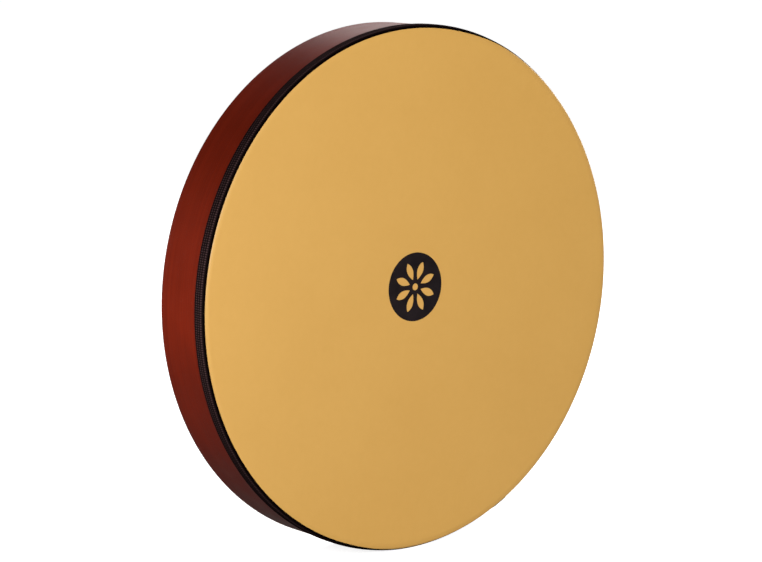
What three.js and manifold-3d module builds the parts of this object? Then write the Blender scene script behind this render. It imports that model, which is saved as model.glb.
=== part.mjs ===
// Frame drum: a shallow hoop of laminated wood, a thin synthetic head drawn over its rounded front
// edge, a woven ribbon glued over the head's trimmed skirt, and a round emblem on the head.
//
// Millimetres, +Z up. The drum stands upright on its rim: its axis runs along Y, the head faces -Y
// and the open back faces +Y. The origin is on the ground below the middle of the drum's depth.

import * as THREE from "three";
import { mergeVertices } from "three/addons/utils/BufferGeometryUtils.js";
import Module from "manifold-3d";

const wasm = await Module();
wasm.setup();

// ---- Driving dimensions ---------------------------------------------------------------------------

const SHELL_DIAMETER = 558.8; // outside of the bare hoop, 22 inches
const OVERALL_DEPTH = 72.8; // emblem's face to back rim
const PLY_COUNT = 6;
const PLY_THICKNESS = 1.2;
const GLUE_LINE = 0.2; // between two plies

const EDGE_TILT = THREE.MathUtils.degToRad(16); // slope of the crown where it meets the front corner
const FRONT_CORNER_RADIUS = 2.6; // the rounded outer corner that the head bends over
const BACK_CORNER_RADIUS = 2; // eased corners of the back rim

const HEAD_THICKNESS = 0.5;
const HEAD_CLEARANCE = 0.2; // glue between the hoop and the head
const HEAD_SKIRT = 10.5; // how far the head reaches down the hoop's side

const RIBBON_THICKNESS = 0.5;
const RIBBON_CLEARANCE = 0.1; // glue between the head and the ribbon
const RIBBON_FRONT = 2; // the ribbon's two edges, behind the playing face
const RIBBON_BACK = 12.8;

const EMBLEM_RADIUS = 36.7;
const EMBLEM_THICKNESS = 0.2;
const EMBLEM_CLEARANCE = 0.1;
const EMBLEM_SHIFT = -3; // the print's centre from the drum's axis, towards +X and upwards
const EMBLEM_RAISED = 3.9;
const PETAL_COUNT = 8;
const PETAL_START = 0.22; // parts of the emblem's radius
const PETAL_END = 0.76;
const PETAL_HALF_WIDTH = 0.11;
const EYE_RADIUS = 0.1;

const SEAM_GAP = 0.4; // open line left where a bent strip's two ends meet
const SCARF_ANGLE = THREE.MathUtils.degToRad(45);
const FIRST_SEAM_DEGREES = -35; // the outer ply's joint, as an angle from the right-hand side
const SEAM_STEP_DEGREES = -47; // keeps each ply's joint well away from its neighbours'
const RIBBON_SEAM_DEGREES = -65;
const CORNER_STEPS = 4; // straight pieces along the rounded front corner
const SECTORS = 96; // facets around the drum; a multiple of four puts a flat one at the bottom

// ---- Derived dimensions ---------------------------------------------------------------------------

const SHELL_RADIUS = SHELL_DIAMETER / 2;
const PLY_PITCH = PLY_THICKNESS + GLUE_LINE;
const WALL = PLY_COUNT * PLY_PITCH - GLUE_LINE;
const BORE_RADIUS = SHELL_RADIUS - WALL;
const CROWN_RADIUS = (WALL - FRONT_CORNER_RADIUS) / Math.sin(EDGE_TILT) + FRONT_CORNER_RADIUS;

const HEAD_OUTER = HEAD_CLEARANCE + HEAD_THICKNESS; // offsets from the wood
const RIBBON_INNER = HEAD_OUTER + RIBBON_CLEARANCE;
const RIBBON_OUTER = RIBBON_INNER + RIBBON_THICKNESS;

// Distances behind the wood's front plane, where the head first touches the hoop.
const EMBLEM_FACE = -(HEAD_OUTER + EMBLEM_CLEARANCE + EMBLEM_THICKNESS);
const BACK_RIM = OVERALL_DEPTH + EMBLEM_FACE;
const SKIRT_END = HEAD_SKIRT - HEAD_OUTER;
const RIBBON_START = RIBBON_FRONT - HEAD_OUTER;
const RIBBON_END = RIBBON_BACK - HEAD_OUTER;
const FRONT_PLANE_Y = -OVERALL_DEPTH / 2 - EMBLEM_FACE;

const SECTOR_ANGLE = (2 * Math.PI) / SECTORS;
const STANDING_HEIGHT = (SHELL_RADIUS + RIBBON_OUTER) * Math.cos(SECTOR_ANGLE / 2);

// ---- Profile of the rounded edges -----------------------------------------------------------------

// Points are (radius, distance behind the front plane). The front edge is a wide crown arc that
// starts level at the bore and runs tangent into the tight corner arc, which ends on the side wall.

const crownCentre = new THREE.Vector2(BORE_RADIUS, CROWN_RADIUS);
const cornerCentre = new THREE.Vector2(
  SHELL_RADIUS - FRONT_CORNER_RADIUS,
  CROWN_RADIUS - (CROWN_RADIUS - FRONT_CORNER_RADIUS) * Math.cos(EDGE_TILT),
);

function onArc(centre, radius, angle) {
  return new THREE.Vector2(
    centre.x + radius * Math.sin(angle),
    centre.y - radius * Math.cos(angle),
  );
}

// The front edge's curve raised by `offset` from the wood, from the bore out to the side wall.
function frontEdge(offset) {
  const crown = [0, EDGE_TILT / 2].map((angle) =>
    onArc(crownCentre, CROWN_RADIUS + offset, angle),
  );
  const corner = Array.from({ length: CORNER_STEPS + 1 }, (_, step) =>
    onArc(
      cornerCentre,
      FRONT_CORNER_RADIUS + offset,
      THREE.MathUtils.lerp(EDGE_TILT, Math.PI / 2, step / CORNER_STEPS),
    ),
  );
  return [...crown, ...corner];
}

// Distance of the wood's front surface behind the front plane at a given radius.
function woodFront(radius) {
  if (radius <= cornerCentre.x + FRONT_CORNER_RADIUS * Math.sin(EDGE_TILT)) {
    const across = radius - crownCentre.x;
    return crownCentre.y - Math.sqrt(CROWN_RADIUS ** 2 - across ** 2);
  }
  const across = Math.min(radius - cornerCentre.x, FRONT_CORNER_RADIUS);
  return cornerCentre.y - Math.sqrt(FRONT_CORNER_RADIUS ** 2 - across ** 2);
}

// Distance of the wood's back surface behind the front plane at a given radius.
function woodBack(radius) {
  const toCorner = Math.min(radius - BORE_RADIUS, SHELL_RADIUS - radius);
  const across = Math.max(BACK_CORNER_RADIUS - toCorner, 0);
  return BACK_RIM - BACK_CORNER_RADIUS + Math.sqrt(BACK_CORNER_RADIUS ** 2 - across ** 2);
}

// ---- Solids ---------------------------------------------------------------------------------------

function solidOf(geometry) {
  const bare = geometry.clone();
  bare.deleteAttribute("normal");
  bare.deleteAttribute("uv");
  const merged = mergeVertices(bare, 1e-3);
  return new wasm.Manifold(
    new wasm.Mesh({
      numProp: 3,
      vertProperties: merged.attributes.position.array,
      triVerts: new Uint32Array(merged.index.array),
    }),
  );
}

function geometryOf(solid) {
  const { vertProperties, triVerts } = solid.getMesh();
  const geometry = new THREE.BufferGeometry();
  geometry.setAttribute("position", new THREE.BufferAttribute(vertProperties, 3));
  geometry.setIndex(new THREE.BufferAttribute(triVerts, 1));
  geometry.computeVertexNormals();
  return geometry;
}

// Turns a profile around the drum's axis, with a facet centred at the bottom.
function turned(profile) {
  const placed = profile.map(({ x, y }) => new THREE.Vector2(x, FRONT_PLANE_Y + y));
  return new THREE.LatheGeometry(placed, SECTORS, SECTOR_ANGLE / 2);
}

function turnedRing(outline) {
  return turned([...outline, outline[0]]);
}

// A ring opened by a slanted saw cut, as a strip bent round until its scarfed ends meet. The cut's
// place is an angle seen from the front, from the right-hand side up towards the top.
function bentStrip(outline, seamDegrees) {
  const radii = outline.map((point) => point.x);
  const middle = (Math.min(...radii) + Math.max(...radii)) / 2;
  const saw = new THREE.BoxGeometry(4 * PLY_THICKNESS, 2 * OVERALL_DEPTH, SEAM_GAP);
  saw.rotateY(SCARF_ANGLE);
  saw.translate(middle, 0, 0);
  saw.rotateY(-THREE.MathUtils.degToRad(seamDegrees));
  return geometryOf(solidOf(turnedRing(outline)).subtract(solidOf(saw)));
}

// ---- Parts ----------------------------------------------------------------------------------------

const stainedWood = { color: 0x7a2a17, roughness: 0.42, metalness: 0 };
const tanHead = { color: 0xdcac5e, roughness: 0.5, metalness: 0 };
const blackRibbon = { color: 0x17120f, roughness: 0.9, metalness: 0 };
const blackInk = { color: 0x231b1d, roughness: 0.45, metalness: 0 };

function part(name, geometry, finish) {
  const mesh = new THREE.Mesh(geometry, new THREE.MeshStandardMaterial(finish));
  mesh.name = name;
  return mesh;
}

// One veneer of the hoop, counted from the outside. The plies that make the rounded corners have
// extra points along them.
function ply(index) {
  const outer = SHELL_RADIUS - index * PLY_PITCH;
  const inner = outer - PLY_THICKNESS;
  const steps = index === 0 || index === PLY_COUNT - 1 ? 3 : 1;
  const radii = Array.from({ length: steps + 1 }, (_, step) =>
    THREE.MathUtils.lerp(inner, outer, step / steps),
  );
  const front = radii.map((radius) => new THREE.Vector2(radius, woodFront(radius)));
  const back = radii.map((radius) => new THREE.Vector2(radius, woodBack(radius))).reverse();
  return [...front, ...back];
}

const plyNames = [
  "outer_shell_ply",
  "second_shell_ply",
  "third_shell_ply",
  "fourth_shell_ply",
  "fifth_shell_ply",
  "inner_shell_ply",
];

function shellPlies() {
  return plyNames.map((name, index) => {
    const seam = FIRST_SEAM_DEGREES + index * SEAM_STEP_DEGREES;
    return part(name, bentStrip(ply(index), seam), stainedWood);
  });
}

function drumHead() {
  const outside = [
    new THREE.Vector2(0, -HEAD_OUTER),
    ...frontEdge(HEAD_OUTER),
    new THREE.Vector2(SHELL_RADIUS + HEAD_OUTER, SKIRT_END),
  ];
  const inside = [
    new THREE.Vector2(SHELL_RADIUS + HEAD_CLEARANCE, SKIRT_END),
    ...frontEdge(HEAD_CLEARANCE).reverse(),
    new THREE.Vector2(0, -HEAD_CLEARANCE),
  ];
  return part("drum_head", turned([...outside, ...inside]), tanHead);
}

function edgeRibbon() {
  const outline = [
    new THREE.Vector2(SHELL_RADIUS + RIBBON_INNER, RIBBON_START),
    new THREE.Vector2(SHELL_RADIUS + RIBBON_OUTER, RIBBON_START),
    new THREE.Vector2(SHELL_RADIUS + RIBBON_OUTER, RIBBON_END),
    new THREE.Vector2(SHELL_RADIUS + RIBBON_INNER, RIBBON_END),
  ];
  return part("edge_ribbon", bentStrip(outline, RIBBON_SEAM_DEGREES), blackRibbon);
}

// A pointed petal along the direction `angle`, as a hole in the emblem.
function petalHole(angle) {
  const along = new THREE.Vector2(Math.cos(angle), Math.sin(angle));
  const across = new THREE.Vector2(-along.y, along.x);
  const at = (distance, side) =>
    along
      .clone()
      .multiplyScalar(distance * EMBLEM_RADIUS)
      .addScaledVector(across, side * EMBLEM_RADIUS);
  const bulge = PETAL_START + 0.6 * (PETAL_END - PETAL_START);
  const start = at(PETAL_START, 0);
  const end = at(PETAL_END, 0);
  const left = at(bulge, 2 * PETAL_HALF_WIDTH);
  const right = at(bulge, -2 * PETAL_HALF_WIDTH);
  const hole = new THREE.Path();
  hole.moveTo(start.x, start.y);
  hole.quadraticCurveTo(left.x, left.y, end.x, end.y);
  hole.quadraticCurveTo(right.x, right.y, start.x, start.y);
  return hole;
}

function headEmblem() {
  const disc = new THREE.Shape().absarc(0, 0, EMBLEM_RADIUS, 0, 2 * Math.PI);
  const eye = new THREE.Path().absarc(0, 0, EYE_RADIUS * EMBLEM_RADIUS, 0, 2 * Math.PI);
  const petals = Array.from({ length: PETAL_COUNT }, (_, index) =>
    petalHole(((index + 0.5) * 2 * Math.PI) / PETAL_COUNT),
  );
  disc.holes.push(eye, ...petals);
  const geometry = new THREE.ExtrudeGeometry(disc, {
    depth: EMBLEM_THICKNESS,
    bevelEnabled: false,
    curveSegments: 12,
  });
  const emblem = part("head_emblem", geometry, blackInk);
  emblem.rotation.x = Math.PI / 2;
  emblem.position.set(EMBLEM_SHIFT, -OVERALL_DEPTH / 2 + EMBLEM_THICKNESS, EMBLEM_RAISED);
  return emblem;
}

const drum = new THREE.Group();
drum.add(...shellPlies(), drumHead(), edgeRibbon(), headEmblem());
drum.position.z = STANDING_HEIGHT;

export default drum;
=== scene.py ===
"""A large frame drum standing upright: stained plywood hoop, tan synthetic head, black woven ribbon
over the head's edge and a round printed emblem. Metres; +Z up; the head faces -Y."""

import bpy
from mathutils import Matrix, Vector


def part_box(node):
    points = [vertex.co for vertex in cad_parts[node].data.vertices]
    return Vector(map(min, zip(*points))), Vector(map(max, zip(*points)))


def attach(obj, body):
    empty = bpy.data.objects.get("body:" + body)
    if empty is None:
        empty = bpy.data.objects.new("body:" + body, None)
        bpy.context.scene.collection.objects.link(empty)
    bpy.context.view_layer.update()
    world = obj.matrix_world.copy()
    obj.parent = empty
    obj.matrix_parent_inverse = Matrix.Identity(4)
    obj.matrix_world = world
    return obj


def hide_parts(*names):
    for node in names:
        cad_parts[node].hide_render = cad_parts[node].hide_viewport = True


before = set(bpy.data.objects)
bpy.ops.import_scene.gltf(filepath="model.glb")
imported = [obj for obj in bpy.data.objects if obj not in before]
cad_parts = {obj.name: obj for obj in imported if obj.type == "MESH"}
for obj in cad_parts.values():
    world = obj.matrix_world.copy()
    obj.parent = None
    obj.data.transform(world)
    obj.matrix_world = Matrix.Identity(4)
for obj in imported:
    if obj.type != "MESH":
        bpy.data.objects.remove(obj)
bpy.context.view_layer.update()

import math

import bpy
import numpy as np
from mathutils import Matrix, Vector

MM = 0.001
FULL_TURN = 2 * math.pi

# ---- Sizes, in metres -------------------------------------------------------------------------------

PLIES = [  # node, its seam's angle round the drum from the right-hand side, as in the CAD frame
    ("outer_shell_ply", -35),
    ("second_shell_ply", -82),
    ("third_shell_ply", -129),
    ("fourth_shell_ply", -176),
    ("fifth_shell_ply", -223),
    ("inner_shell_ply", -270),
]
PLY_THICKNESS = 1.2 * MM
PLY_SEAM = 0.25 * MM

EDGE_TILT = math.radians(16)  # slope of the crown where it runs into the front corner
FRONT_CORNER = 2.6 * MM
BACK_CORNER = 2 * MM
HEAD_CLEARANCE = 0.2 * MM
HEAD_THICKNESS = 0.5 * MM
HEAD_OUTER = HEAD_CLEARANCE + HEAD_THICKNESS

RIBBON_THICKNESS = 0.5 * MM
RIBBON_CLEARANCE = 0.1 * MM
RIBBON_SEAM = -65
RIBBON_LAP = 16 * MM
LAP_GAP = 0.12 * MM  # between the ribbon's start and the end that laps over it
RIB_PITCH = 2.4 * MM
RIB_HEIGHT = 0.12 * MM
STEPS_PER_RIB = 4
YARN_PITCH = 3.4 * MM
SELVEDGE = 1.8 * MM  # thicker edge along the ribbon's front; the same band is painted plain black as the shade of the crevice beside the head
SELVEDGE_RISE = 0.25 * RIBBON_THICKNESS
EDGE_ROUNDING = 0.35 * RIBBON_THICKNESS
TURNED_OVER = 5.5 * MM  # how much of the ribbon is turned over the head's corner on the left
TURNED_LEAST = 0.2 * MM  # and on the right
TURN_MIDDLE = math.radians(164)  # where round the drum it is turned over most
TURN_SPREAD = math.radians(98)  # how far to either side of there that lasts
TURN_FADE = math.radians(5)  # how gently it ends
HAND_WAVER = 0.12 * MM  # how far the hand-laid edge wanders

EMBLEM_THICKNESS = 0.12 * MM
EMBLEM_LIFT = 0.03 * MM
PETALS = 8
PETAL_START = 0.22  # parts of the emblem's radius
PETAL_END = 0.76
PETAL_BULGE = 0.22
PETAL_STEPS = 16  # along each side of a petal
EYE = 0.1

SECTORS = 720  # steps round the drum

HEAD_LOW, HEAD_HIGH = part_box("drum_head")
EMBLEM_LOW, EMBLEM_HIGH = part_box("head_emblem")


def outer_radius(node):
    low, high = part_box(node)
    return (high.x - low.x) / 2


AXIS_Z = (HEAD_LOW.z + HEAD_HIGH.z) / 2
FACE_Y = HEAD_LOW.y  # the playing face
WOOD_FRONT_Y = FACE_Y + HEAD_OUTER
BACK_RIM_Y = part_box("third_shell_ply")[1].y  # a middle ply, clear of the rim's rounded corners
SHELL_RADIUS = outer_radius("outer_shell_ply")
BORE_RADIUS = outer_radius("inner_shell_ply") - PLY_THICKNESS
WALL = SHELL_RADIUS - BORE_RADIUS

# The wood's front follows a wide arc, the crown, from the bore outwards and then a small corner arc.
CROWN = (WALL - FRONT_CORNER) / math.sin(EDGE_TILT) + FRONT_CORNER  # the crown's radius
CORNER_R = SHELL_RADIUS - FRONT_CORNER  # where the corner's centre lies
CORNER_Y = WOOD_FRONT_Y + CROWN - (CROWN - FRONT_CORNER) * math.cos(EDGE_TILT)
RIBBON_WIDTH = TURNED_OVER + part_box("edge_ribbon")[1].y - CORNER_Y


# ---- Mesh helpers -----------------------------------------------------------------------------------


def new_piece(name, vertices, faces, around=None):
    """A smooth-shaded object; `around` is a vector per vertex that a material can read."""
    mesh = bpy.data.meshes.new(name)
    mesh.from_pydata([tuple(v) for v in vertices], [], faces)
    mesh.validate()
    mesh.update()
    if around is not None:
        attribute = mesh.attributes.new("around", "FLOAT_VECTOR", "POINT")
        attribute.data.foreach_set("vector", np.asarray(around, np.float32).ravel())
    mesh.shade_smooth()
    obj = bpy.data.objects.new(name, mesh)
    bpy.context.scene.collection.objects.link(obj)
    return obj


def place_round(radius, depth, angle):
    """Points at a radius from the drum's axis, a place along Y and an angle from the right-hand side."""
    radius, depth, angle = np.broadcast_arrays(radius, depth, angle)
    return np.stack([radius * np.cos(angle), depth, AXIS_Z + radius * np.sin(angle)], axis=-1)


def bent_strip(name, outline, start, sweep, steps, shape=None):
    """A strip with a closed section of (radius, y) points, bent round the axis and capped at both ends.

    With `shape`, the section has two coordinates of the strip's own, which it turns into those."""
    section = np.array(outline)
    angle = start + sweep * np.linspace(0, 1, steps + 1)[:, None]
    first, second, angle = np.broadcast_arrays(section[:, 0], section[:, 1], angle)
    radius, depth = shape(first, second, angle - start) if shape else (first, second)
    points = place_round(radius, depth, angle).reshape(-1, 3)
    around = np.stack([(angle - start) * SHELL_RADIUS, second, first], axis=-1).reshape(-1, 3)
    count = len(section)
    faces = []
    for i in range(steps):
        for j in range(count):
            k = (j + 1) % count
            faces.append((i * count + j, i * count + k, (i + 1) * count + k, (i + 1) * count + j))
    for j in range(count // 2 - 1):  # a ladder of faces closes each end
        a, b = count - 1 - j, count - 2 - j
        faces.append((j, a, b, j + 1))
        faces.append(tuple(steps * count + k for k in (j, j + 1, b, a)))
    return new_piece(name, points, faces, around)


def turned_solid(name, outline, steps):
    """A closed solid turned round the axis from an outline whose two ends lie on it."""
    outline = np.array(outline)
    ring = outline[1:-1]
    angle = (FULL_TURN * np.arange(steps) / steps)[:, None]
    rings = place_round(ring[:, 0], ring[:, 1], angle).reshape(-1, 3)
    poles = [(0, outline[0, 1], AXIS_Z), (0, outline[-1, 1], AXIS_Z)]
    points = np.concatenate([rings, poles])
    count, first_pole, last_pole = len(ring), len(rings), len(rings) + 1
    faces = []
    for i in range(steps):
        a, b = i * count, (i + 1) % steps * count
        faces.append((first_pole, a, b))
        faces.append((last_pole, b + count - 1, a + count - 1))
        for j in range(count - 1):
            faces.append((a + j, a + j + 1, b + j + 1, b + j))
    return new_piece(name, points, faces)


def arc(centre, radius, start, end, steps):
    """Points on an arc; angle 0 faces the front (-Y) and a quarter turn faces outwards."""
    return [
        (
            centre[0] + radius * math.sin(start + (end - start) * i / steps),
            centre[1] - radius * math.cos(start + (end - start) * i / steps),
        )
        for i in range(steps + 1)
    ]


# ---- Materials --------------------------------------------------------------------------------------


class Shader:
    """A Principled material with short calls for adding and joining nodes."""

    def __init__(self, name, **sockets):
        self.material = bpy.data.materials.new(name)
        self.material.use_nodes = True
        self.tree = self.material.node_tree
        self.bsdf = self.tree.nodes["Principled BSDF"]
        for socket, value in sockets.items():
            self.bsdf.inputs[socket.replace("_", " ")].default_value = value

    def node(self, kind, settings=None, **inputs):
        made = self.tree.nodes.new("ShaderNode" + kind)
        for key, value in (settings or {}).items():
            setattr(made, key, value)
        for key, value in inputs.items():
            self.feed(made.inputs[key.replace("_", " ")], value)
        return made

    def feed(self, socket, value):
        if isinstance(value, bpy.types.NodeSocket):
            self.tree.links.new(value, socket)
        else:
            socket.default_value = value

    def around(self, scale, shift=(0, 0, 0)):
        """Distance round the drum, then the strip's own depth and radius (for the tape, the distance
        from its front edge and its side), each times its own scale, then shifted."""
        place = self.node("Attribute", {"attribute_name": "around"}).outputs["Vector"]
        return self.node("Mapping", Vector=place, Scale=scale, Location=shift).outputs["Vector"]

    def position(self, scale):
        place = self.node("TexCoord").outputs["Object"]
        return self.node("Mapping", Vector=place, Scale=scale).outputs["Vector"]

    def noise(self, vector, detail=4.0, roughness=0.55, distortion=0.0):
        return self.node("TexNoise", Vector=vector, Scale=1.0, Detail=detail, Roughness=roughness,
                         Distortion=distortion).outputs["Fac"]

    def remap(self, value, low, high, to_low=0.0, to_high=1.0):
        return self.node("MapRange", Value=value, From_Min=low, From_Max=high, To_Min=to_low,
                         To_Max=to_high).outputs["Result"]

    def waves(self, value, pitch):
        """Smooth waves from 0 to 1, one for each pitch of the value."""
        return self.remap(self.math("SINE", self.math("MULTIPLY", value, FULL_TURN / pitch)), -1, 1)

    def grey(self, value):
        return self.node("CombineColor", Red=value, Green=value, Blue=value).outputs[0]

    def math(self, operation, first, second=0.0):
        made = self.node("Math", {"operation": operation})
        self.feed(made.inputs[0], first)
        self.feed(made.inputs[1], second)
        return made.outputs[0]

    def mix(self, factor, first, second, blend="MIX"):
        made = self.node("Mix", {"data_type": "RGBA", "blend_type": blend})
        self.feed(made.inputs["Factor"], factor)
        self.feed(made.inputs[6], first)
        self.feed(made.inputs[7], second)
        return made.outputs[2]

    def finish(self, colour, roughness, height, distance, strength=1.0):
        """Joins colour, roughness and bump height (which is worth `distance` metres at 1)."""
        self.feed(self.bsdf.inputs["Base Color"], colour)
        self.feed(self.bsdf.inputs["Roughness"], roughness)
        bump = self.node("Bump", Height=height, Distance=distance, Strength=strength)
        self.tree.links.new(bump.outputs["Normal"], self.bsdf.inputs["Normal"])
        return self.material


def rgb(red, green, blue):
    return (red, green, blue, 1.0)


def stained_wood(name, light, dark, gloss, grain_along=1.0, seed=0.0):
    """Reddish stain over beech-like veneer: long streaks round the hoop, short dark flecks, lacquer."""
    s = Shader(name, IOR=1.3, Specular_IOR_Level=gloss, Specular_Tint=rgb(1, 0.3, 0.2))
    own_grain = (seed, seed * 1.7, seed * 0.3)
    streak = s.noise(s.around((9 * grain_along, 900 / grain_along, 900), own_grain), 5.0)
    band = s.noise(s.around((3, 60, 60)), 3.0)
    blotch = s.noise(s.around((14, 14, 14)), 3.0)
    fleck_noise = s.noise(s.around((260 * grain_along, 3300 / grain_along, 1200)), 1.0)
    fleck = s.remap(fleck_noise, 0.66, 0.74)

    tone = s.math("ADD", s.math("MULTIPLY", streak, 0.7), s.math("MULTIPLY", band, 0.3))
    colour = s.mix(s.remap(tone, 0.36, 0.64), rgb(*dark), rgb(*light))
    colour = s.mix(1.0, colour, s.grey(s.remap(blotch, 0.3, 0.7, 0.88, 1.1)), "MULTIPLY")
    pore = rgb(dark[0] * 0.45, dark[1] * 0.4, dark[2] * 0.4)
    colour = s.mix(s.math("MULTIPLY", fleck, 0.55), colour, pore)

    roughness = s.remap(s.math("ADD", blotch, s.math("MULTIPLY", streak, 0.5)), 0.5, 1.0, 0.36, 0.5)
    height = s.math("SUBTRACT", s.math("MULTIPLY", streak, 0.5), s.math("MULTIPLY", fleck, 0.8))
    return s.finish(colour, roughness, height, 0.04 * MM)


def end_grain(name, light, dark, seed):
    """A ply's sawn edge: short fibres, unevenly soaked with stain."""
    return stained_wood(name, light, dark, 0.4, grain_along=3.0, seed=seed)


def film(name):
    """Smooth tan drumhead film: cloudy at arm's length, with a fine matt tooth up close."""
    s = Shader(name, IOR=1.46, Coat_Weight=0.3, Coat_Roughness=0.22, Sheen_Weight=0.04)
    cloud = s.noise(s.position((9, 9, 9)), 4.0, 0.6)
    mottle = s.noise(s.position((130, 130, 130)), 5.0, 0.6)
    tooth = s.noise(s.position((2600, 2600, 2600)), 3.0, 0.6)
    fibre = s.noise(s.position((90, 90, 1400)), 3.0, 0.5, 1.2)
    tone = s.math("ADD", s.math("MULTIPLY", cloud, 0.6), s.math("MULTIPLY", mottle, 0.4))
    colour = s.mix(s.remap(tone, 0.35, 0.65), rgb(0.716, 0.395, 0.091), rgb(0.744, 0.418, 0.100))
    colour = s.mix(s.remap(fibre, 0.62, 0.8, 0.0, 0.18), colour, rgb(0.80, 0.47, 0.14))
    colour = s.mix(s.remap(tooth, 0.3, 0.7, 0.0, 0.10), colour, rgb(0.60, 0.30, 0.07))
    roughness = s.remap(s.math("ADD", mottle, tooth), 0.7, 1.3, 0.44, 0.56)
    height = s.math("ADD", s.math("MULTIPLY", tooth, 0.5), s.math("MULTIPLY", mottle, 0.6))
    return s.finish(colour, roughness, height, 0.03 * MM)


def woven_tape(name):
    """Black cotton tape: its ribs are in the mesh, fine grey dots are painted on its yarns as sheen, and
    its front selvedge is painted plain black as the shade of the crevice beside the head, with a little
    lint. It is matt, so its refraction is near that of air."""
    s = Shader(name, IOR=1.03)
    place = s.node("SeparateXYZ", Vector=s.around((1, 1, 1))).outputs
    # Painted sheen: the grey dots on the yarn crests are lighter colour standing for the fibres'
    # reflection; the same pattern also drives the real bump.
    dots = s.math("MULTIPLY", s.waves(place["Y"], YARN_PITCH), s.waves(place["X"], RIB_PITCH))
    lint = s.noise(s.around((420, 420, 420)), 5.0, 0.7)
    fuzz = s.noise(s.around((2600, 2600, 2600)), 2.0)
    yarn_relief_and_sheen = s.math("ADD", s.remap(dots, 0.15, 0.6, 0.12, 1.0), s.remap(fuzz, 0.3, 0.7, -0.2, 0.2))
    # Painted shade: along the front selvedge the tape is plain black without its painted grey sheen dots,
    # standing for the shade in the crevice beside the head.
    body = s.remap(place["Y"], SELVEDGE, 1.6 * SELVEDGE)
    colour = s.mix(s.math("MULTIPLY", yarn_relief_and_sheen, body), rgb(0.002, 0.001, 0.001), rgb(0.056, 0.031, 0.032))
    colour = s.mix(s.remap(lint, 0.62, 0.8, 0.0, 0.3), colour, rgb(0.075, 0.058, 0.06))
    roughness = s.remap(fuzz, 0.3, 0.7, 0.78, 0.95)
    height = s.math("ADD", yarn_relief_and_sheen, s.math("MULTIPLY", fuzz, 0.3))
    return s.finish(colour, roughness, height, 0.1 * MM)


def ink(name):
    """Black screen print: nearly even, with the film's tooth showing and a few worn specks."""
    s = Shader(name, IOR=1.48, Specular_IOR_Level=0.16)
    cloud = s.noise(s.position((60, 60, 60)), 4.0)
    tooth = s.noise(s.position((2200, 2200, 2200)), 3.0, 0.6)
    colour = s.mix(s.remap(cloud, 0.35, 0.65), rgb(0.009, 0.006, 0.007), rgb(0.015, 0.010, 0.0115))
    colour = s.mix(s.remap(tooth, 0.72, 0.8, 0.0, 0.5), colour, rgb(0.09, 0.05, 0.025))
    roughness = s.remap(s.math("ADD", cloud, tooth), 0.7, 1.3, 0.38, 0.54)
    return s.finish(colour, roughness, tooth, 0.03 * MM)


# ---- The drum's pieces ------------------------------------------------------------------------------


def wood_front(radius):
    """Where the wood's front surface lies along Y at a radius: the crown, then the corner arc."""
    if radius <= CORNER_R + FRONT_CORNER * math.sin(EDGE_TILT):
        return WOOD_FRONT_Y + CROWN - math.sqrt(CROWN**2 - (radius - BORE_RADIUS) ** 2)
    across = min(radius - CORNER_R, FRONT_CORNER)
    return CORNER_Y - math.sqrt(FRONT_CORNER**2 - across**2)


def wood_back(radius):
    """Where the wood's back surface lies along Y at a radius: flat, with both corners rounded."""
    to_corner = min(radius - BORE_RADIUS, SHELL_RADIUS - radius)
    across = max(BACK_CORNER - to_corner, 0)
    return BACK_RIM_Y - BACK_CORNER + math.sqrt(BACK_CORNER**2 - across**2)


def ply_outline(outer):
    """One veneer's section. Points crowd towards the rounded corners, where the wall turns fast."""
    inner = outer - PLY_THICKNESS
    share = (1 - np.cos(math.pi * np.linspace(0, 1, 13))) / 2
    radii = inner + (outer - inner) * share
    depths = np.linspace(0.0, 1.0, 9)[1:-1]
    front = [(r, wood_front(r)) for r in radii]
    back = [(r, wood_back(r)) for r in reversed(radii)]
    side = [(outer, front[-1][1] + (back[0][1] - front[-1][1]) * t) for t in depths]
    bore = [(inner, back[-1][1] + (front[0][1] - back[-1][1]) * t) for t in depths]
    return front + side + back + bore


def shell():
    """The six veneers, each with its own run of grain."""
    face = ((0.205, 0.0165, 0.0045), (0.150, 0.0110, 0.0032))
    edge = ((0.170, 0.0200, 0.0075), (0.095, 0.0100, 0.0045))
    core = ((0.240, 0.0320, 0.0120), (0.150, 0.0180, 0.0070))
    for index, (node, seam) in enumerate(PLIES):
        outer = outer_radius(node)
        gap = PLY_SEAM / outer
        start = math.radians(seam) + gap / 2
        piece = bent_strip(node + "_veneer", ply_outline(outer), start, FULL_TURN - gap, SECTORS)
        if index in (0, len(PLIES) - 1):
            material = stained_wood(node + "_wood", *face, 0.45 if index == 0 else 0.35, seed=3.1 * index)
        else:
            material = end_grain(node + "_wood", *(edge if index % 2 else core), seed=3.1 * index)
        piece.data.materials.append(material)
        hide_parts(node)
        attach(piece, "root")


def head_surface(offset, steps):
    """The drawn film at a height above the wood, from the edge of the bore to the side wall."""
    crown = arc((BORE_RADIUS, WOOD_FRONT_Y + CROWN), CROWN + offset, 0, EDGE_TILT, steps)
    corner = arc((CORNER_R, CORNER_Y), FRONT_CORNER + offset, EDGE_TILT, math.pi / 2, steps)
    return crown + corner[1:]


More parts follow.
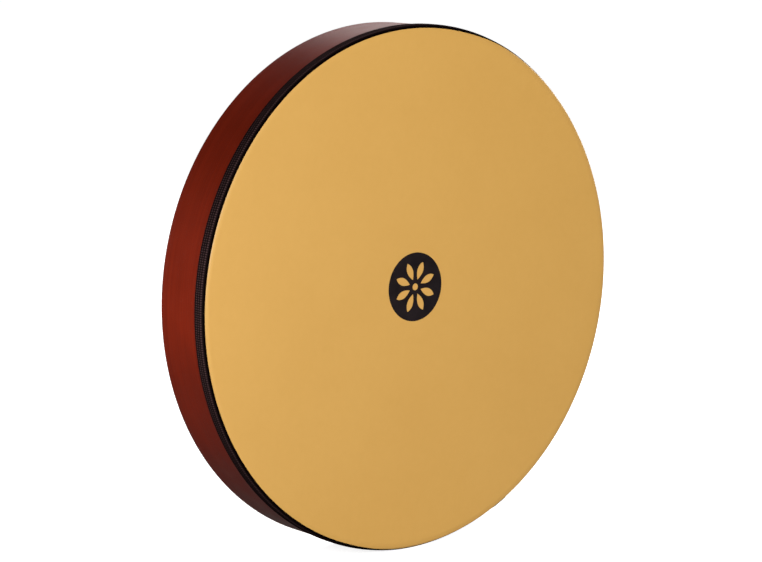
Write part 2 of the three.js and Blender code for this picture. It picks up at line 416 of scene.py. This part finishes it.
def head():
    """The film: one closed skin, flat over the bore, drawn over the wood and down its side."""
    outside = head_surface(HEAD_OUTER, 10)
    inside = head_surface(HEAD_CLEARANCE, 10)
    flat = [BORE_RADIUS * t for t in (0.25, 0.5, 0.75, 0.9)]
    outer, inner, corner_y = outside[-1][0], inside[-1][0], outside[-1][1]
    skirt = [corner_y + (HEAD_HIGH.y - corner_y) * t for t in (0.33, 0.66, 1)]
    outline = (
        [(0, FACE_Y)]
        + [(r, FACE_Y) for r in flat]
        + outside
        + [(outer, y) for y in skirt]
        + [(inner, y) for y in reversed(skirt)]
        + list(reversed(inside))
        + [(r, FACE_Y + HEAD_THICKNESS) for r in reversed(flat)]
        + [(0, FACE_Y + HEAD_THICKNESS)]
    )
    piece = turned_solid("drawn_head_film", outline, SECTORS)
    piece.data.materials.append(film("head_film"))
    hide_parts("drum_head")
    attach(piece, "root")


def turned_over(facing):
    """How much of the ribbon's width is turned over the head's corner, at an angle round the drum."""
    away = np.abs((facing - TURN_MIDDLE + math.pi) % FULL_TURN - math.pi)
    share = 1 / (1 + np.exp((away - TURN_SPREAD) / TURN_FADE))
    waver = HAND_WAVER * np.sin(5 * facing + 0.7)
    return TURNED_LEAST + (TURNED_OVER - TURNED_LEAST) * share + waver


def tape_surface(side, run, rib_turns):
    """Height of the tape's bottom (side 0) or top (side 1) at a distance from its front edge.

    Both edges are rounded, and `rib_turns` counts the crosswise ribs passed so far."""
    soft = np.clip(1 - np.minimum(run, RIBBON_WIDTH - run) / EDGE_ROUNDING, 0, 1)
    half = RIBBON_THICKNESS / 2 * np.sqrt(1 - 0.8 * soft**2)
    selvedge = SELVEDGE_RISE * np.exp(-((run - SELVEDGE / 2) / (SELVEDGE / 2)) ** 2)
    rib = RIB_HEIGHT / 2 * (np.cos(FULL_TURN * rib_turns) - 1)
    top = RIBBON_THICKNESS / 2 + half + selvedge + rib
    bottom = RIBBON_THICKNESS / 2 - half
    return bottom + (top - bottom) * side


def over_corner(lift, inwards):
    """Radius and depth of a point of the tape, which lies a clearance off the head.

    `lift` is its height above the tape's bed, and `inwards` its distance along that bed from where
    the head's side wall meets the corner: round the corner, then along the crown. A negative
    distance leads back down the wall."""
    corner_radius = FRONT_CORNER + HEAD_OUTER + RIBBON_CLEARANCE
    corner_length = (math.pi / 2 - EDGE_TILT) * corner_radius
    on_crown = np.maximum(inwards - corner_length, 0)
    turn = math.pi / 2 - np.clip(inwards, 0, corner_length) / corner_radius
    radius = CORNER_R + (corner_radius + lift) * np.sin(turn) - on_crown * math.cos(EDGE_TILT)
    depth = CORNER_Y - (corner_radius + lift) * np.cos(turn) - on_crown * math.sin(EDGE_TILT)
    return radius, depth + np.maximum(-inwards, 0)


def ribbon():
    """The tape: its back lies on the head's side wall and its front is turned over the head's corner.

    It is glued on by hand, so its front edge reaches further over the corner on the left. The
    tape has crosswise ribs, a thicker front selvedge and an end that laps over its start."""
    seam = math.radians(RIBBON_SEAM)
    middle_radius = SHELL_RADIUS + HEAD_OUTER + RIBBON_CLEARANCE + RIBBON_THICKNESS / 2
    lap = RIBBON_LAP / middle_radius
    sweep = FULL_TURN + lap
    length = sweep * middle_radius
    ribs = round(length / RIB_PITCH)

    # Points lie close together near the front edge, where the tape turns over the corner.
    close = [np.linspace(0, 0.16, 6), np.linspace(0.2, 0.42, 5)]
    across = RIBBON_WIDTH * np.concatenate([*close, [0.56, 0.7, 0.84, 0.94, 1]])
    outline = [(1.0, run) for run in across] + [(0.0, run) for run in across[::-1]]

    def shape(side, run, angle):
        lapped = np.clip((angle - (FULL_TURN - 0.5 * lap)) / (0.5 * lap), 0, 1)
        lifted = lapped * lapped * (3 - 2 * lapped) * (RIBBON_THICKNESS + LAP_GAP)
        lift = tape_surface(side, run, ribs * angle / sweep) + lifted
        return over_corner(lift, turned_over(seam + angle) - run)

    piece = bent_strip("woven_edge_tape", outline, seam, sweep, ribs * STEPS_PER_RIB, shape)
    piece.data.materials.append(woven_tape("black_tape"))
    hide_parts("edge_ribbon")
    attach(piece, "root")


def circle(size, steps):
    angles = [FULL_TURN * i / steps for i in range(steps)]
    return [(size * math.cos(angle), size * math.sin(angle)) for angle in angles]


def petal(angle):
    """A pointed petal: out along one quadratic curve and back along its mirror image."""
    along = np.array([math.cos(angle), math.sin(angle)])
    across = np.array([-along[1], along[0]])
    start, end = PETAL_START * along, PETAL_END * along
    bulge = (PETAL_START + 0.6 * (PETAL_END - PETAL_START)) * along
    out = np.linspace(0, 1, PETAL_STEPS + 1)[:-1]
    points = []
    for side, way in ((1, out), (-1, 1 - out)):
        control = bulge + side * PETAL_BULGE * across
        points += [(1 - t) ** 2 * start + 2 * t * (1 - t) * control + t**2 * end for t in way]
    return points


def flat_plate(name, loops, size, thickness):
    """A mesh of the area inside the first loop, with the other loops left open."""
    curve = bpy.data.curves.new(name, "CURVE")
    curve.dimensions = "2D"
    curve.fill_mode = "BOTH"
    curve.extrude = thickness / 2
    for loop in loops:
        spline = curve.splines.new("POLY")
        spline.points.add(len(loop) - 1)
        for point, (x, y) in zip(spline.points, loop):
            point.co = (x * size, y * size, 0, 1)
        spline.use_cyclic_u = True
    holder = bpy.data.objects.new(name, curve)
    bpy.context.scene.collection.objects.link(holder)
    bpy.context.view_layer.update()
    mesh = bpy.data.meshes.new_from_object(holder.evaluated_get(bpy.context.evaluated_depsgraph_get()))
    bpy.data.objects.remove(holder)
    mesh.name = name
    return mesh


def emblem():
    """A flat printed disc with a rosette of petals left open, so the film shows through."""
    petals = [petal((index + 0.5) * FULL_TURN / PETALS) for index in range(PETALS)]
    loops = [circle(1, 256), circle(EYE, 64), *petals]
    radius = (EMBLEM_HIGH.x - EMBLEM_LOW.x) / 2
    middle = (EMBLEM_HIGH + EMBLEM_LOW) / 2
    mesh = flat_plate("printed_emblem", loops, radius, EMBLEM_THICKNESS)
    upright = Matrix.Rotation(math.pi / 2, 4, "X")
    y = FACE_Y - EMBLEM_LIFT - EMBLEM_THICKNESS / 2
    mesh.transform(Matrix.Translation((middle.x, y, middle.z)) @ upright)
    piece = bpy.data.objects.new("printed_emblem", mesh)
    bpy.context.scene.collection.objects.link(piece)
    piece.data.materials.clear()
    piece.data.materials.append(ink("emblem_ink"))
    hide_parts("head_emblem")
    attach(piece, "root")


# ---- Floor, light and camera ------------------------------------------------------------------------

CAMERA_AZIMUTH = math.radians(-39.83)
CAMERA_ELEVATION = math.radians(9.49)
CAMERA_DISTANCE = 2.676
CAMERA_LEFT = 0.0384  # the camera stands left of the head's centre and a little above it
CAMERA_UP = 0.0097
CAMERA_LENS = 119.5


def camera():
    azimuth, elevation = CAMERA_AZIMUTH, CAMERA_ELEVATION
    back = Vector((math.sin(azimuth) * math.cos(elevation),
                   -math.cos(azimuth) * math.cos(elevation),
                   math.sin(elevation)))
    right = Vector((math.cos(azimuth), math.sin(azimuth), 0))
    up = back.cross(right)
    data = bpy.data.cameras.new("camera")
    data.lens = CAMERA_LENS
    data.sensor_width = 36
    data.clip_end = 100
    obj = bpy.data.objects.new("camera", data)
    turn = Matrix((right, up, back)).transposed().to_4x4()
    place = Vector((0, FACE_Y, AXIS_Z)) - CAMERA_LEFT * right + CAMERA_UP * up + CAMERA_DISTANCE * back
    obj.matrix_world = Matrix.Translation(place) @ turn
    bpy.context.scene.collection.objects.link(obj)
    bpy.context.scene.camera = obj


def floor():
    """White to the camera apart from the drum's own soft shadow, but dim as a source of light on the
    drum, so that it doesn't wash out the reflections. It glows a little less close to the drum."""
    mesh = bpy.data.meshes.new("floor")
    size = 30
    mesh.from_pydata([(-size, -size, 0), (size, -size, 0), (size, size, 0), (-size, size, 0)], [],
                     [(0, 1, 2, 3)])
    obj = bpy.data.objects.new("floor", mesh)
    bpy.context.scene.collection.objects.link(obj)
    s = Shader("pale_floor", Roughness=0.9, Specular_IOR_Level=0.0, Emission_Color=rgb(1, 1, 1))
    seen = s.node("LightPath").outputs["Is Camera Ray"]
    reach = s.node("VectorMath", {"operation": "LENGTH"})
    s.feed(reach.inputs[0], s.position((1, 1, 1)))
    glow = s.remap(reach.outputs["Value"], 0.5, 2.5, 0.82, 1.0)
    s.feed(s.bsdf.inputs["Base Color"], s.grey(s.remap(seen, 0, 1, 0.2, 0.8)))
    s.feed(s.bsdf.inputs["Emission Strength"], s.math("MULTIPLY", glow, seen))
    mesh.materials.append(s.material)


def softbox(name, place, width, height, power):
    """A white rectangular light, in metres and watts, that faces the middle of the drum."""
    data = bpy.data.lights.new(name, "AREA")
    data.shape = "RECTANGLE"
    data.size, data.size_y = width, height
    data.energy = power
    obj = bpy.data.objects.new(name, data)
    way = (Vector((0, 0, AXIS_Z)) - Vector(place)).to_track_quat("-Z", "Y")
    obj.matrix_world = Matrix.Translation(place) @ way.to_matrix().to_4x4()
    obj.visible_camera = False
    bpy.context.scene.collection.objects.link(obj)


def lights():
    """Softboxes, and a world that is white to the camera but throws hardly any light on the drum."""
    softbox("key_softbox", (-1.45, -2.8, 1.15), 1.6, 1.4, 94)
    softbox("front_strip", (0.3, -2.4, 0.28), 0.09, 0.5, 7)
    softbox("left_softbox", (-0.53, -0.05, 0.3), 0.16, 0.16, 0.55)
    softbox("back_softbox", (1.4, 1.9, 0.95), 1.4, 1.1, 4)
    softbox("top_softbox", (1.0, 0.9, 1.8), 0.9, 0.9, 22)
    softbox("behind_softbox", (0.1, 3.0, 0.35), 1.2, 0.6, 34)
    softbox("right_softbox", (2.3, 0.4, 0.7), 0.9, 0.9, 16)
    world = bpy.data.worlds.new("studio")
    bpy.context.scene.world = world
    world.use_nodes = True
    tree = world.node_tree
    background = tree.nodes["Background"]
    background.inputs["Color"].default_value = rgb(1, 1, 1)
    seen = tree.nodes.new("ShaderNodeLightPath")
    strength = tree.nodes.new("ShaderNodeMapRange")
    strength.inputs["To Min"].default_value = 0.02
    strength.inputs["To Max"].default_value = 1.0
    tree.links.new(seen.outputs["Is Camera Ray"], strength.inputs["Value"])
    tree.links.new(strength.outputs["Result"], background.inputs["Strength"])


def colour_management():
    view = bpy.context.scene.view_settings
    view.view_transform = "Standard"
    view.look = "None"
    view.exposure = 0
    view.gamma = 1


shell()
head()
ribbon()
emblem()
floor()
lights()
camera()
colour_management()
